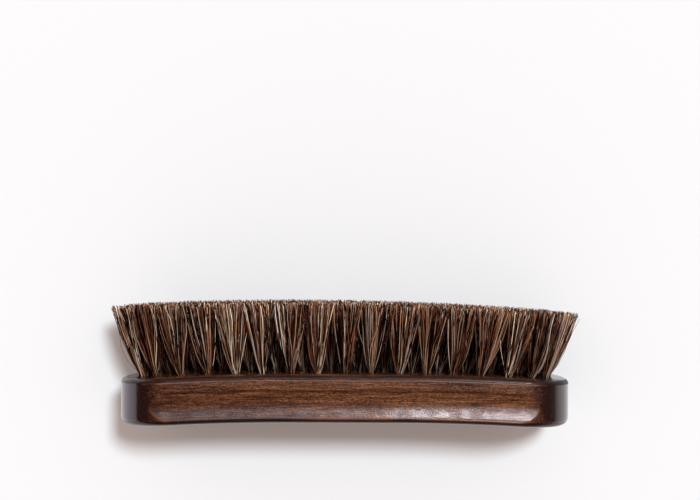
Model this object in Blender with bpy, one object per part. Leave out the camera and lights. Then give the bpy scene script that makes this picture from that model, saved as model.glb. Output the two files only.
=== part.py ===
"""Horsehair bristle brush: a bowed hardwood block with a finger groove down each long side, and a
face that carries staggered rows of hair tufts, trimmed to one even curve.

Metres, +Z up. The brush lies on one long side, which is at Z = 0. +X runs along its length and +Y
from its back to the hair tips. Its shapes are drawn about the middle of the bristle face, with the
depth into the wood as -Y and the width as Z, and an empty places them all.
"""

import math

import bmesh
import bpy
from mathutils import Vector

# Block
BLOCK_LENGTH = 0.162
BLOCK_WIDTH = 0.0508
BLOCK_THICKNESS = 0.017
END_REACH = 0.020  # how far each half-ellipse end runs along the length
FLAT_LENGTH = 0.036  # the middle of the block is straight for this length
BOW_DROP = 0.0025  # how far the block's ends lie back from that straight middle
FACE_EDGE_WIDTH = 0.0030  # rounding of the bristle face's edge, all the way round
FACE_EDGE_HEIGHT = 0.0018
BACK_EDGE_WIDTH = 0.0024  # rounding of the back's edge along the sides
BACK_EDGE_HEIGHT = 0.0015
END_EDGE_WIDTH = 0.0035  # the same rounding at the tips of the two ends
END_EDGE_HEIGHT = 0.0032

# Finger groove, one on each long side
GROOVE_TOP = 0.0053  # depth below the bristle face at which it starts
GROOVE_CHORD = 0.0100
GROOVE_DEPTH = 0.0016

# Bristle bed: the layer of the face that holds the tufts, divided into rows
BED_DEPTH = 0.0030
BED_WALL = 0.0021  # wood left between the outer tuft holes and the edge of the bed
FIT_CLEARANCE = 0.0003

# Tufts
TUFT_INSET = 0.0075  # from the block's outline to the outer tufts
HOLE_MOUTH_RADIUS = 0.00185
HOLE_FLOOR_RADIUS = 0.00160
HOLE_DEPTH = 0.0008  # the open mouth above the packed hair
LAST_ROW_SHARE = 0.944  # where the last straight row lies on the straight part of the side
INNER_END_SHARE = 0.35  # reach of the inner end tufts, of the reach of the outer ones

# Hair
HAIR_LENGTH = 0.0241  # free length above the face
HAIR_END_LEAN = 0.0063  # how far the outermost tufts lean out along the length
HAIR_END_TRIM = 0.0029  # how much lower the trimmed tips are at the ends
TRIM_FALL = 0.0022  # the trim also falls by this much from the left end to the right
LOCK_ROOT_RADIUS = 0.00036
LOCK_TIP_RADIUS = 0.00085
LOCK_GAP = 0.0003  # least distance between locks of neighbouring tufts
WALL_GAP = 0.0001  # between a lock and the wall of its hole
LOCK_SINK = 0.0007  # how deep a lock is rooted below its hole's open mouth
SIDE_MARGIN = 0.0014  # the tips stay this far inside the block's sides

# Counts
END_SEGMENTS = 15
BOW_SEGMENTS = 6
FACE_EDGE_STEPS = 4
BACK_EDGE_STEPS = 6
GROOVE_STEPS = 12
HOLE_SIDES = 8
LOCK_SIDES = 3
LOCKS_AROUND = 5  # in each tuft, about one in its middle
ROWS_EACH_WAY = 6  # full rows from the middle of the brush to each end
OUTER_END_TUFTS = 5
INNER_END_TUFTS = 3
WALK_STEPS = 120  # straight steps that the path round an end is measured in

CUT_OVERRUN = 0.004

# Worked out
HALF_LENGTH = BLOCK_LENGTH / 2
HALF_WIDTH = BLOCK_WIDTH / 2
STRAIGHT = HALF_LENGTH - END_REACH
BED_INSET = TUFT_INSET - HOLE_MOUTH_RADIUS - BED_WALL
ROW_PITCH = STRAIGHT * LAST_ROW_SHARE / ROWS_EACH_WAY
TUFT_EDGE = HALF_WIDTH - TUFT_INSET
LAST_TUFT = HALF_LENGTH - TUFT_INSET

WOOD = (0.115, 0.042, 0.018, 1)
HAIR = (0.050, 0.031, 0.023, 1)


def clear_scene():
    for obj in list(bpy.data.objects):
        bpy.data.objects.remove(obj)


def finish(name, colour, roughness):
    material = bpy.data.materials.new(name)
    material.use_nodes = True
    shader = material.node_tree.nodes["Principled BSDF"]
    shader.inputs["Base Color"].default_value = colour
    shader.inputs["Roughness"].default_value = roughness
    shader.inputs["Metallic"].default_value = 0
    return material


def add_object(name, bm, materials, frame):
    """The mesh as an object carried by the brush's frame."""
    bmesh.ops.recalc_face_normals(bm, faces=bm.faces)
    mesh = bpy.data.meshes.new(name)
    bm.to_mesh(mesh)
    bm.free()
    for material in materials:
        mesh.materials.append(material)
    obj = bpy.data.objects.new(name, mesh)
    obj.parent = frame
    bpy.context.scene.collection.objects.link(obj)
    return obj


def apply_tool(obj, tool, operation):
    """Cuts the tool from the object, or joins it on, and leaves the tool as a wire guide."""
    tool.hide_render = True
    tool.display_type = "WIRE"
    boolean = obj.modifiers.new(tool.name, "BOOLEAN")
    boolean.operation = operation
    boolean.solver = "EXACT"
    boolean.object = tool


def shade_round(obj):
    obj.data.shade_smooth()
    obj.data.set_sharp_from_angle(angle=math.radians(35))


def bow(x):
    """How far the block lies back at a place along its length."""
    beyond = max(abs(x) - FLAT_LENGTH / 2, 0)
    return BOW_DROP * (beyond / (HALF_LENGTH - FLAT_LENGTH / 2)) ** 2


def half_width(x, inset):
    """Half the width of the block's outline, drawn in by the inset, at a place along its length."""
    into_end = max(abs(x) - STRAIGHT, 0) / (END_REACH - inset)
    return (HALF_WIDTH - inset) * math.sqrt(max(1 - into_end**2, 0))


def end_angles():
    """Angles from the tip of an end to where its side turns straight, with none at the tip itself."""
    step = math.pi / (2 * END_SEGMENTS + 1)
    return [(i + 1 / 2) * step for i in range(END_SEGMENTS + 1)]


def bow_places():
    """Places along one straight side, from the middle out, where the bow is given a new facet."""
    start = min(FLAT_LENGTH / 2, STRAIGHT)
    return [start + (STRAIGHT - start) * i / BOW_SEGMENTS for i in range(BOW_SEGMENTS)]


def side_places(inset, low, high):
    """Places along the length where an inset plate between two limits needs a corner."""
    ends = [STRAIGHT + (END_REACH - inset) * math.cos(angle) for angle in end_angles()]
    places = ends + bow_places()
    places = sorted([-x for x in places] + places)
    inside = [x for x in places if low + FIT_CLEARANCE < x < high - FIT_CLEARANCE]
    if low > places[0]:
        inside.insert(0, low)
    if high < places[-1]:
        inside.append(high)
    return inside


def join_rings(bm, rings):
    """Walls between closed rings of as many points, and a lid of strips across the first and last."""
    count = len(rings[0])
    for upper, lower in zip(rings, rings[1:]):
        for i in range(count):
            j = (i + 1) % count
            bm.faces.new((upper[i], upper[j], lower[j], lower[i]))
    for ring in (rings[0], rings[-1]):
        for i in range(count // 2 - 1):
            bm.faces.new((ring[i], ring[i + 1], ring[count - 2 - i], ring[count - 1 - i]))


def block_mesh():
    """The outline's ring, lofted down from the bristle face, round the back's edge to the back."""
    corners = [(STRAIGHT, math.cos(angle), math.sin(angle)) for angle in end_angles()]
    corners += [(x, 0, 1) for x in reversed(bow_places())]
    corners += [(-x, -along, across) for x, along, across in reversed(corners)]

    def ring(bm, side_inset, end_inset, side_depth, end_depth):
        points = []
        for x, along, across in corners:
            inset = side_inset + (end_inset - side_inset) * abs(along)
            depth = side_depth + (end_depth - side_depth) * abs(along)
            x += (END_REACH - inset) * along
            points.append((x, -depth - bow(x), (HALF_WIDTH - inset) * across))
        points += [(x, y, -z) for x, y, z in reversed(points)]
        return [bm.verts.new(point) for point in points]

    bm = bmesh.new()
    rings = []
    for i in range(FACE_EDGE_STEPS + 1):
        angle = math.pi / 2 * i / FACE_EDGE_STEPS
        inset = FACE_EDGE_WIDTH * (1 - math.sin(angle))
        depth = FACE_EDGE_HEIGHT * (1 - math.cos(angle))
        rings.append(ring(bm, inset, inset, depth, depth))
    for i in range(BACK_EDGE_STEPS + 1):
        angle = math.pi / 2 * i / BACK_EDGE_STEPS
        inwards, upwards = 1 - math.cos(angle), 1 - math.sin(angle)
        rings.append(
            ring(
                bm,
                BACK_EDGE_WIDTH * inwards,
                END_EDGE_WIDTH * inwards,
                BLOCK_THICKNESS - BACK_EDGE_HEIGHT * upwards,
                BLOCK_THICKNESS - END_EDGE_HEIGHT * upwards,
            )
        )
    join_rings(bm, rings)
    return bm


def groove_mesh(side):
    """A bar with a round inner face, bent along the bow, that cuts one finger groove."""
    radius = (GROOVE_CHORD**2 / 4 + GROOVE_DEPTH**2) / (2 * GROOVE_DEPTH)
    centre_depth = GROOVE_TOP + GROOVE_CHORD / 2
    centre_z = HALF_WIDTH - GROOVE_DEPTH + radius
    spread = math.asin(GROOVE_CHORD / 2 / radius)
    section = []
    for i in range(GROOVE_STEPS + 1):
        angle = spread * (2 * i / GROOVE_STEPS - 1)
        section.append((radius * math.sin(angle), centre_z - radius * math.cos(angle)))
    # The bar's two outer corners carry the arc's ends straight out of the block.
    slope = math.tan(spread)
    outer = CUT_OVERRUN / slope
    section.append((section[-1][0] + outer, HALF_WIDTH + CUT_OVERRUN))
    section.insert(0, (section[0][0] - outer, HALF_WIDTH + CUT_OVERRUN))

    reach = HALF_LENGTH + CUT_OVERRUN
    places = bow_places() + [STRAIGHT + END_REACH * i / BOW_SEGMENTS for i in range(BOW_SEGMENTS)]
    places = sorted([-x for x in places] + places + [-reach, reach])
    bm = bmesh.new()
    rings = []
    for x in places:
        rings.append([bm.verts.new((x, -centre_depth - bow(x) + y, side * z)) for y, z in section])
    count = len(section)
    for left, right in zip(rings, rings[1:]):
        for i in range(count):
            j = (i + 1) % count
            bm.faces.new((left[i], left[j], right[j], right[i]))
    bm.faces.new(rings[0])
    bm.faces.new(rings[-1])
    return bm


def plate_mesh(inset, low, high, top, bottom):
    """A flat plate of the inset outline between two places along the length, bowed like the block."""
    bm = bmesh.new()
    places = side_places(inset, low, high)
    rings = []
    for y in (top, bottom):
        points = [(x, y - bow(x), half_width(x, inset)) for x in places]
        points += [(x, y, -z) for x, y, z in reversed(points)]
        rings.append([bm.verts.new(point) for point in points])
    join_rings(bm, rings)
    return bm


def walk_round_end(start, reach, edge, count):
    """Evenly spaced tufts on a path from a side's last tuft, round the end, to the other side's."""
    steps = [math.pi * i / WALK_STEPS for i in range(WALK_STEPS + 1)]
    path = [(start, edge)]
    path += [(STRAIGHT + reach * math.sin(a), edge * math.cos(a)) for a in steps]
    path.append((start, -edge))
    lengths = [0]
    for (x0, z0), (x1, z1) in zip(path, path[1:]):
        lengths.append(lengths[-1] + math.hypot(x1 - x0, z1 - z0))
    tufts = []
    for i in range(count):
        wanted = lengths[-1] * (i + 1) / (count + 1)
        k = max(j for j in range(len(path)) if lengths[j] <= wanted)
        share = (wanted - lengths[k]) / (lengths[k + 1] - lengths[k])
        (x0, z0), (x1, z1) = path[k], path[k + 1]
        tufts.append((x0 + (x1 - x0) * share, z0 + (z1 - z0) * share))
    return tufts


def tuft_rows():
    """Each row of the bristle bed: its name, where it starts and ends, and its tufts."""
    last = ROW_PITCH * ROWS_EACH_WAY
    field = last + ROW_PITCH / 4
    outer_reach = LAST_TUFT - STRAIGHT
    end = walk_round_end(last, outer_reach, TUFT_EDGE, OUTER_END_TUFTS)
    inner_reach = outer_reach * INNER_END_SHARE
    end += walk_round_end(last - ROW_PITCH / 2, inner_reach, TUFT_EDGE / 2, INNER_END_TUFTS)
    rows = [("bristle_end_left", -HALF_LENGTH, -field, [(-x, z) for x, z in end])]
    for i in range(4 * ROWS_EACH_WAY + 1):
        x = ROW_PITCH / 2 * (i - 2 * ROWS_EACH_WAY)
        across = (-TUFT_EDGE, 0, TUFT_EDGE) if i % 2 == 0 else (-TUFT_EDGE / 2, TUFT_EDGE / 2)
        tufts = [(x, z) for z in across]
        name = f"bristle_row_{i + 1:02d}"
        rows.append((name, x - ROW_PITCH / 4, x + ROW_PITCH / 4, tufts))
    rows.append(("bristle_end_right", field, HALF_LENGTH, end))
    return rows


def tip_of(tuft):
    """Where the middle of a tuft is at its tips: it leans out more towards the ends."""
    x, z = tuft
    return (x + HAIR_END_LEAN * x / LAST_TUFT, z)


def fan_radius(tuft, tufts):
    """How far a tuft's locks spread at their tips, short of the neighbours' and of the sides."""
    x, z = tip_of(tuft)
    nearest = min(math.dist((x, z), tip_of(other)) for other in tufts if other != tuft)
    room = min((nearest - LOCK_GAP) / 2, HALF_WIDTH - SIDE_MARGIN - abs(z))
    return room - LOCK_TIP_RADIUS


def turn_of(tuft, tufts):
    """How a tuft's ring of locks is turned: each unlike the next, and the brush's two ends alike."""
    x, z = tuft
    turn = tufts.index((abs(x), z)) * math.pi * (3 - math.sqrt(5))
    return turn if x >= 0 else math.pi - turn


def trim_height(x):
    """The height of the trimmed tips above the middle of the face."""
    along = x / (LAST_TUFT + HAIR_END_LEAN)
    return HAIR_LENGTH - HAIR_END_TRIM * along**2 - TRIM_FALL / 2 * along


def polygon(bm, sides, radius, centre, turn):
    """A flat ring of points about a centre, in the plane of the face."""
    x, y, z = centre
    ring = []
    for i in range(sides):
        angle = turn + 2 * math.pi * i / sides
        ring.append(bm.verts.new((x + radius * math.cos(angle), y, z + radius * math.sin(angle))))
    return ring


def close_between(bm, lower, upper):
    """A closed tapered prism between two rings."""
    faces = [bm.faces.new(lower), bm.faces.new(upper)]
    for i in range(len(lower)):
        j = (i + 1) % len(lower)
        faces.append(bm.faces.new((lower[i], lower[j], upper[j], upper[i])))
    return faces


def holes_mesh(tufts):
    """The open mouths of a row's tuft holes, a little wider at the face."""
    bm = bmesh.new()
    flare = (HOLE_MOUTH_RADIUS - HOLE_FLOOR_RADIUS) / HOLE_DEPTH
    top_radius = HOLE_MOUTH_RADIUS + CUT_OVERRUN * flare
    for x, z in tufts:
        floor = polygon(bm, HOLE_SIDES, HOLE_FLOOR_RADIUS, (x, -bow(x) - HOLE_DEPTH, z), 0)
        top = polygon(bm, HOLE_SIDES, top_radius, (x, -bow(x) + CUT_OVERRUN, z), 0)
        close_between(bm, floor, top)
    return bm


def hair_mesh(tufts, all_tufts):
    """A row's locks of hair: in each tuft one in the middle and a ring of others, fanning out."""
    bm = bmesh.new()
    floor_room = HOLE_FLOOR_RADIUS * math.cos(math.pi / HOLE_SIDES)
    foot_ring = floor_room - LOCK_ROOT_RADIUS - WALL_GAP
    for tuft in tufts:
        x, z = tuft
        tip_x, tip_z = tip_of(tuft)
        fan = fan_radius(tuft, all_tufts)
        floor_y = -bow(x) - HOLE_DEPTH
        turn = turn_of(tuft, all_tufts)
        spokes = [(0, 0, turn)]
        for i in range(LOCKS_AROUND):
            angle = turn + 2 * math.pi * i / LOCKS_AROUND
            spokes.append((math.cos(angle), math.sin(angle), angle))
        for along, across, angle in spokes:
            foot = Vector((x + foot_ring * along, floor_y, z + foot_ring * across))
            end_x = tip_x + fan * along
            tip = Vector((end_x, trim_height(end_x), tip_z + fan * across))
            root = foot + (foot - tip) * LOCK_SINK / (tip.y - foot.y)
            lower = polygon(bm, LOCK_SIDES, LOCK_ROOT_RADIUS, root, angle)
            upper = polygon(bm, LOCK_SIDES, LOCK_TIP_RADIUS, tip, angle)
            for face in close_between(bm, lower, upper):
                face.material_index = 1
    return bm


def make_block(frame):
    wood = finish("lacquered_hardwood", WOOD, 0.28)
    block = add_object("handle_block", block_mesh(), [wood], frame)
    for name, side in (("groove_bar_upper", 1), ("groove_bar_lower", -1)):
        apply_tool(block, add_object(name, groove_mesh(side), [wood], frame), "DIFFERENCE")
    bed = plate_mesh(BED_INSET, -HALF_LENGTH, HALF_LENGTH, CUT_OVERRUN, -BED_DEPTH)
    apply_tool(block, add_object("bed_cutter", bed, [wood], frame), "DIFFERENCE")
    shade_round(block)
    return block


def make_row(name, low, high, tufts, all_tufts, frame):
    """One slice of the bristle bed with its tuft holes and the hair set in them. Returns the hair."""
    materials = [
        finish(f"{name}_wood", WOOD, 0.55),
        finish(f"{name}_horsehair", HAIR, 0.6),
    ]
    inset = BED_INSET + FIT_CLEARANCE
    gap = FIT_CLEARANCE / 2
    slab = plate_mesh(inset, low + gap, high - gap, 0, -(BED_DEPTH - FIT_CLEARANCE))
    row = add_object(name, slab, materials, frame)
    holes = add_object(f"{name}_holes", holes_mesh(tufts), materials, frame)
    apply_tool(row, holes, "DIFFERENCE")
    hair = add_object(f"{name}_hair", hair_mesh(tufts, all_tufts), materials, frame)
    apply_tool(row, hair, "UNION")
    return hair


def place_frame(frame, block, hair_tools):
    """Stands the brush on its long side, with the middle of its bounding box over the origin."""
    back = min(vertex.co.y for vertex in block.data.vertices)
    tips = max(vertex.co.y for hair in hair_tools for vertex in hair.data.vertices)
    frame.location = (0, -(back + tips) / 2, HALF_WIDTH)


def main():
    clear_scene()
    frame = bpy.data.objects.new("brush_frame", None)
    bpy.context.scene.collection.objects.link(frame)
    block = make_block(frame)
    rows = tuft_rows()
    all_tufts = [tuft for row in rows for tuft in row[3]]
    hair = [make_row(*row, all_tufts, frame) for row in rows]
    place_frame(frame, block, hair)
    locks = len(all_tufts) * (LOCKS_AROUND + 1)
    print(f"{len(all_tufts)} tufts, {locks} locks of hair")


main()
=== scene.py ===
"""Horsehair bristle brush, lying on one long side: its wood, its hair and a plain studio.

Metres, +Z up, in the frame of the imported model: +X runs along the brush and +Y from its back to the
hair tips. Places on the block are given by how far they lie along it, how deep below its bristle
face and how far across from its middle.
"""

import math
from types import SimpleNamespace

import bmesh
import bpy
from mathutils import Matrix, Vector


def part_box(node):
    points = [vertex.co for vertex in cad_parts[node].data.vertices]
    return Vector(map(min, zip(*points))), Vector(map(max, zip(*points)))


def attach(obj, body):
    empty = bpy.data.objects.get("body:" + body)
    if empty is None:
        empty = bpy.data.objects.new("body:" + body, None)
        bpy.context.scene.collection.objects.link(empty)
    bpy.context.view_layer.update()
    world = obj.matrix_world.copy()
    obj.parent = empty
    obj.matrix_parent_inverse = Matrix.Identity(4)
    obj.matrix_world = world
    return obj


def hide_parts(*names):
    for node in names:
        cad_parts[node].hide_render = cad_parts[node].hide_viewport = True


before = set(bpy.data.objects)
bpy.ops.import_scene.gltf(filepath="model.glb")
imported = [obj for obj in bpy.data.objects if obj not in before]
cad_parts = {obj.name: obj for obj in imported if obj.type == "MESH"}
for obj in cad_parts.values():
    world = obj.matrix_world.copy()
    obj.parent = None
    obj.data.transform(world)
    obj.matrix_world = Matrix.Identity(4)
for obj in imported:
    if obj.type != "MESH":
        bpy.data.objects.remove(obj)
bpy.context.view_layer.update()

MM = 0.001
GOLDEN_ANGLE = math.pi * (3 - math.sqrt(5))

# Block, as packed
BLOCK_LOW, BLOCK_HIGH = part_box("handle_block")
FACE = BLOCK_HIGH.y  # the middle of the bristle face
HALF_LENGTH = BLOCK_HIGH.x
HALF_WIDTH = (BLOCK_HIGH.z - BLOCK_LOW.z) / 2
MIDDLE = (BLOCK_HIGH.z + BLOCK_LOW.z) / 2
THICKNESS = 17 * MM
END_REACH = 20 * MM  # how far each half-ellipse end runs along the length
FLAT_LENGTH = 36 * MM
BOW_DROP = 2.5 * MM  # how far the ends lie back from the straight middle
FACE_EDGE_WIDTH = 3 * MM  # rounding of the bristle face's edge
FACE_EDGE_DEPTH = 1.8 * MM
BACK_EDGE_WIDTH = 2.4 * MM  # rounding of the back's edge along the sides
BACK_EDGE_HEIGHT = 1.5 * MM
END_EDGE_WIDTH = 3.5 * MM  # the same rounding at the tips of the two ends
END_EDGE_HEIGHT = 3.2 * MM
STRAIGHT = HALF_LENGTH - END_REACH

# Finger grooves
GROOVE_TOP = 5.3 * MM
GROOVE_CHORD = 10 * MM
GROOVE_DEPTH = 1.6 * MM
GROOVE_ROUND = 2.4 * MM  # rounding of the groove's bottom, between two nearly flat walls
GROOVE_EDGE_BLEND = 0.25 * MM

# Wood. Pairs run from where nothing of a thing is seen to where all of it is, in millimetres below
# the bristle face, or along the block for its ends and its right.
TONE_SHARES = (0.15, 0.22, 0.37, 0.26)  # of the clouds, the figure, the fibre and the flecks
WOOD_SHADES = (
    (0.40, (0.032, 0.0085, 0.0030)),
    (0.47, (0.085, 0.0255, 0.0090)),
    (0.53, (0.150, 0.0530, 0.0205)),
    (0.60, (0.290, 0.1190, 0.0520)),
)
PALER_TO_THE_RIGHT = 0.15  # the tone rises by this much for each metre of length
GROOVE_PALER_TO_THE_RIGHT = 0.25  # and by this much more in the grooves
UPPER_GROOVE_PALER_END = (11.5, 9)
UPPER_GROOVE_PALER = 0.022
FOOT_START = (14.2, 15)
FOOT_DARKER = 0.025
PORE_STEP = (0.57, 0.62)  # of the pores' pattern
PORE_SHARE = 0.65
PORE_COLOUR = (0.010, 0.0025, 0.0010, 1)
STAIN_AND_PAINTED_SHADE_COLOUR = (0.014, 0.0016, 0.0006, 1)
FACE_EDGE_WAVER = 0.9
END_GRAIN_START = (69, 76.5)
END_GRAIN_WAVER = 12
END_GRAIN_FOOT = (16.8, 14)
END_GRAIN_STAIN = 0.95
ROUNDING_START = (0.25, 0.55)
FACE_EDGE_DARKER_END = (2.5, 2.2)
FACE_EDGE_DARKER = 0.8
BACK_EDGE_START = (15.1, 15.3)
BACK_EDGE_END = (16.95, 16.6)
# Painted shade on the back's rounded edge, which turns away from the light
BACK_EDGE_PAINTED_SHADE = 0.92
# Painted shade on the grooves' upper walls, just under their top edges, stronger with the figure
CREASE_END = (6.4, 5.8)
CREASE_PAINTED_SHADE = 0.3
CREASE_PAINTED_SHADE_BY_FIGURE = 0.6
# Painted highlight along the brink between the face's rounded edge and the side
BRINK_START = (1.7, 1.9)
BRINK_END = (2.35, 2.1)
BRINK_WAVER = 0.4
BRINK_HIGHLIGHT_COLOUR = (0.27, 0.155, 0.12, 1)
BRINK_HIGHLIGHT_SHARE = 0.45
BRINK_HIGHLIGHT_SHARE_TO_THE_RIGHT = 0.3
RIGHT_START = (10, 60)
WORN_PATCHES = (0.42, 0.58)  # of the clouds' pattern
WORN_ENDS = (60, 64)
WORN_START = (8.5, 11.5)
WORN_NEAR_THE_FACE = 0.2
WORN_COLOUR = (0.30, 0.085, 0.022, 1)
WORN_SHARE = 0.55
WORN_LESS_ON_END_GRAIN = 0.3

# Lacquer
TIP_START = (64, 73)
FACE_DULL_END = (0.5, 0.1)
FACE_DULL = 0.25
ROUNDING_DULL_END = (1.6, 1.4)
ROUNDING_DULL = 0.96
TIPS_LESS_DULL = 0.76
BRINK_DULL_END = (2.1, 1.7)
BRINK_DULL_RISE = (-40, 50)
BRINK_DULL = 0.5
BRINK_DULL_TO_THE_RIGHT = 0.38
BACK_EDGE_DULL = 0.5
UPPER_WALL_END = (13, 11.6)
UPPER_WALL_WAVER = 5
UPPER_WALL_DULL = 0.75
LOWER_WALL_START = (8.8, 12)
LOWER_WALL_END = (15.2, 14.4)
TOOL_MARKS = (0.58, 0.42)  # of the marks' pattern
TOOL_MARKS_DULL = 0.4
TOOL_MARKS_DULL_TO_THE_RIGHT = 0.25
ROUGH = 0.14
ROUGH_TO_THE_RIGHT = 0.62
SMOOTH_SPECKLE = 0.05  # how much of the speckle is left where the lacquer is smooth
MARKS_IN_WAVES = 7
SPECKLE_HEIGHT = 0.24 * MM
WAVE_HEIGHT = 0.04 * MM
FIBRE_HEIGHT = 0.03 * MM

# Tufts
TUFT_INSET = 7.5 * MM
LAST_ROW_SHARE = 0.944
INNER_END_SHARE = 0.35
ROWS_EACH_WAY = 6
OUTER_END_TUFTS = 5
INNER_END_TUFTS = 3
WALK_STEPS = 120
HOLE_RADIUS = 1.75 * MM
HOLE_DEPTH = 7 * MM
TUFT_EDGE = HALF_WIDTH - TUFT_INSET
LAST_TUFT = HALF_LENGTH - TUFT_INSET
# Painted shade darkens the roots of the tufts inside the outer ring
INNER_RING = 0.8  # the tufts inside this share of the outer ring stand in its shade

# Hair
HAIR_LENGTH = 24.1 * MM
END_TRIM = 2.9 * MM
TRIM_FALL = 2.2 * MM
TRIM_SCATTER = 0.8 * MM
END_LEAN = 5.5 * MM
TIP_SHIFT = 0.6 * MM  # the tips lie this far to the right of their roots
HAIR_THICKNESS = 0.33 * MM
CLUMP_RADIUS = 1.3 * MM
FAN_RADIUS = 5.8 * MM
TIP_MARGIN = 1.7 * MM  # the tips stay this far inside the block's two long sides
TIP_REACH = 84.6 * MM  # the outermost tips along the length
LOCK_ROOT_RADIUS = 0.16 * MM
LOCK_TIP_RADIUS = 0.5 * MM
LOCK_DRIFT = 1.8 * MM  # how far a lock strays from an even fan
LOOSE_DRIFT = 3.2 * MM  # how far the loosest hairs stray from their lock
HAIR_BEND = 0.6 * MM
LOCKS_IN_A_TUFT = 80
HAIRS_IN_A_LOCK = 4
HAIR_RINGS = 6
SEED_STEP = 100  # between the pieces' seeds, so that no two draws share one
LOCK_TURN = 0.4  # radians by which a lock strays round its tuft
LEAST_SPREAD = 0.35  # of the tightest lock
LOOSE_RARITY = 12
LOOSE_BEND = 3
SHORT_RARITY = 8
SHORTEST = 0.3  # how much of its length the shortest hair lacks
THINNEST = 0.32
BROADEST = 0.33  # more than the thinnest
BROAD_RARITY = 2
TAPER = 0.35
EARLY_FAN = 0.85  # below 1 the hairs fan out near their roots
TUFT_SHADE = 0.06
LOCK_SHADE = 0.32
HAIR_SHADE = 0.78
SHADE_DROP = 0.05
MAP_MARGIN = 0.01
LANE_SHARE = 0.96
STRIP_SHARE = 0.02

# Colours of the hair
HAIR_SHADES = (
    (0.00, (0.001, 0.001, 0.001)),
    (0.46, (0.004, 0.001, 0.001)),
    (0.54, (0.038, 0.011, 0.006)),
    (0.63, (0.150, 0.048, 0.025)),
    (0.72, (0.300, 0.120, 0.060)),
    (0.80, (0.420, 0.255, 0.160)),
    (0.87, (0.440, 0.355, 0.285)),
    (0.95, (0.840, 0.710, 0.570)),
)
GREY_CAST = (0.93, 1.00, 1.10, 1)
GOLDEN_CAST = (1.10, 0.99, 0.82, 1)
GOLDEN_STEP = (0.38, 0.62)
# Painted light and shade on the hair: darker at the roots, darkest on the inner tufts' roots, lighter
# up to the tips
ROOT_LIGHT = 0.85
INNER_SHADE = 0.65  # the inner tufts' roots are darker by this much
LIGHT_UP_THE_HAIR = 0.62
TIP_LIGHT = 0.3
TIP_LIGHT_POWER = 5
STREAKS_ACROSS = 180
STREAKS_UP = 7
STREAK_DARK = 0.2
STREAK_LIGHT = 1.6
CASTS_ACROSS = 100
CASTS_ROW = 5

# Anchors: the flat wire staples that hold the folds of hair down in the holes
ANCHOR_SPAN = 2.4 * MM
ANCHOR_LEG = 1.6 * MM
ANCHOR_WIRE = 0.4 * MM
ANCHOR_TURN = math.radians(35)

# Mesh of the block
END_COLUMNS = 80
SIDE_COLUMN = 1 * MM
FILLET_RINGS = 10
WALL_RINGS = 68
DRILL_SIDES = 16
SHARP_ANGLE = math.radians(50)

# Camera
CAMERA_PLACE = (1.73 * MM, 40.94 * MM, 600 * MM)
CAMERA_ROLL = math.radians(0.22)
LENS = 81.26
SENSOR = 36
NEAREST = 10 * MM

# Studio
FLOOR_REACH = 6000 * MM
FLOOR_COLOUR = (0.95, 0.95, 0.955, 1)
TENT_RADIUS = 1000 * MM
TENT_HEM = -10 * MM
TENT_COLOUR = (0.009, 0.004, 0.004, 1)
BOARD_NEAR = 110 * MM
BOARD_FAR = 900 * MM
BOARD_SIDE = 500 * MM
BOARD_HEIGHT = 0.5 * MM
RIGHT_BOARD_FADE = (110 * MM, 350 * MM)  # where each board begins to darken, and where it is dark
RIGHT_BOARD_COLOUR = (0.9, 0.86, 0.88, 1)
LEFT_BOARD_FADE = (-280 * MM, -850 * MM)
LEFT_BOARD_COLOUR = (1, 0.92, 1, 1)
DARK_BOARD_COLOUR = (0.03, 0.018, 0.016, 1)
KEY_STRENGTH = 2.09
KEY_SIZE = math.radians(10)
KEY_COLOUR = (0.9, 1, 1.05)
KEY_LEAN = math.radians(21.4)
KEY_HEADING = math.radians(50.5)
PANEL_LENGTH = 1000 * MM
PANEL_WIDTH = 500 * MM
PANEL_POWER = 49
PANEL_COLOUR = (1, 0.96, 1.04)
PANEL_FADE = (0.48, 0.67)  # shares of its length, from its dim left to its bright right
PANEL_DIM = 0.04
PANEL_LEAN = math.radians(38.3)
PANEL_HEADING = math.radians(83)
PANEL_DISTANCE = 780 * MM
WALL_COLOUR = (0.95, 0.95, 0.96)
WALL_END = 0.20
CEILING_COLOUR = (0.445, 0.345, 0.31)
CEILING_START = 0.45


# Node trees


class Term:
    """A value in a node tree, so that sums in a tree are written as sums."""

    def __init__(self, tree, value):
        self.tree = tree
        self.value = value

    def math(self, operation, *others):
        node = self.tree.nodes.new("ShaderNodeMath")
        node.operation = operation
        for socket, term in zip(node.inputs, (self, *others)):
            feed(self.tree, socket, term)
        return Term(self.tree, node.outputs[0])

    def __add__(self, other):
        return self.math("ADD", other)

    def __sub__(self, other):
        return self.math("SUBTRACT", other)

    def __rsub__(self, other):
        return Term(self.tree, other).math("SUBTRACT", self)

    def __mul__(self, other):
        return self.math("MULTIPLY", other)

    def __truediv__(self, other):
        return self.math("DIVIDE", other)

    def __pow__(self, other):
        return self.math("POWER", other)

    __radd__ = __add__
    __rmul__ = __mul__


def feed(tree, socket, value):
    """Links a socket to a term or another socket, or gives it a plain value."""
    if isinstance(value, Term):
        value = value.value
    if isinstance(value, bpy.types.NodeSocket):
        tree.links.new(value, socket)
    else:
        socket.default_value = value


def named(sockets, name):
    """The socket of that name which is in use: some nodes hold one for each kind of data."""
    return next(socket for socket in sockets if socket.name == name and socket.enabled)


def add(tree, kind, feeds=None, **settings):
    """A new node with its settings, fed with values or links by the names of its sockets."""
    node = tree.nodes.new(kind)
    for setting, value in settings.items():
        setattr(node, setting, value)
    for name, value in (feeds or {}).items():
        feed(tree, named(node.inputs, name), value)
    return node


def split(tree, vector):
    node = tree.nodes.new("ShaderNodeSeparateXYZ")
    feed(tree, node.inputs[0], vector)
    return [Term(tree, socket) for socket in node.outputs]


def join(tree, x, y, z):
    node = tree.nodes.new("ShaderNodeCombineXYZ")
    for socket, value in zip(node.inputs, (x, y, z)):
        feed(tree, socket, value)
    return node.outputs[0]


# Geometry Nodes


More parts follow.
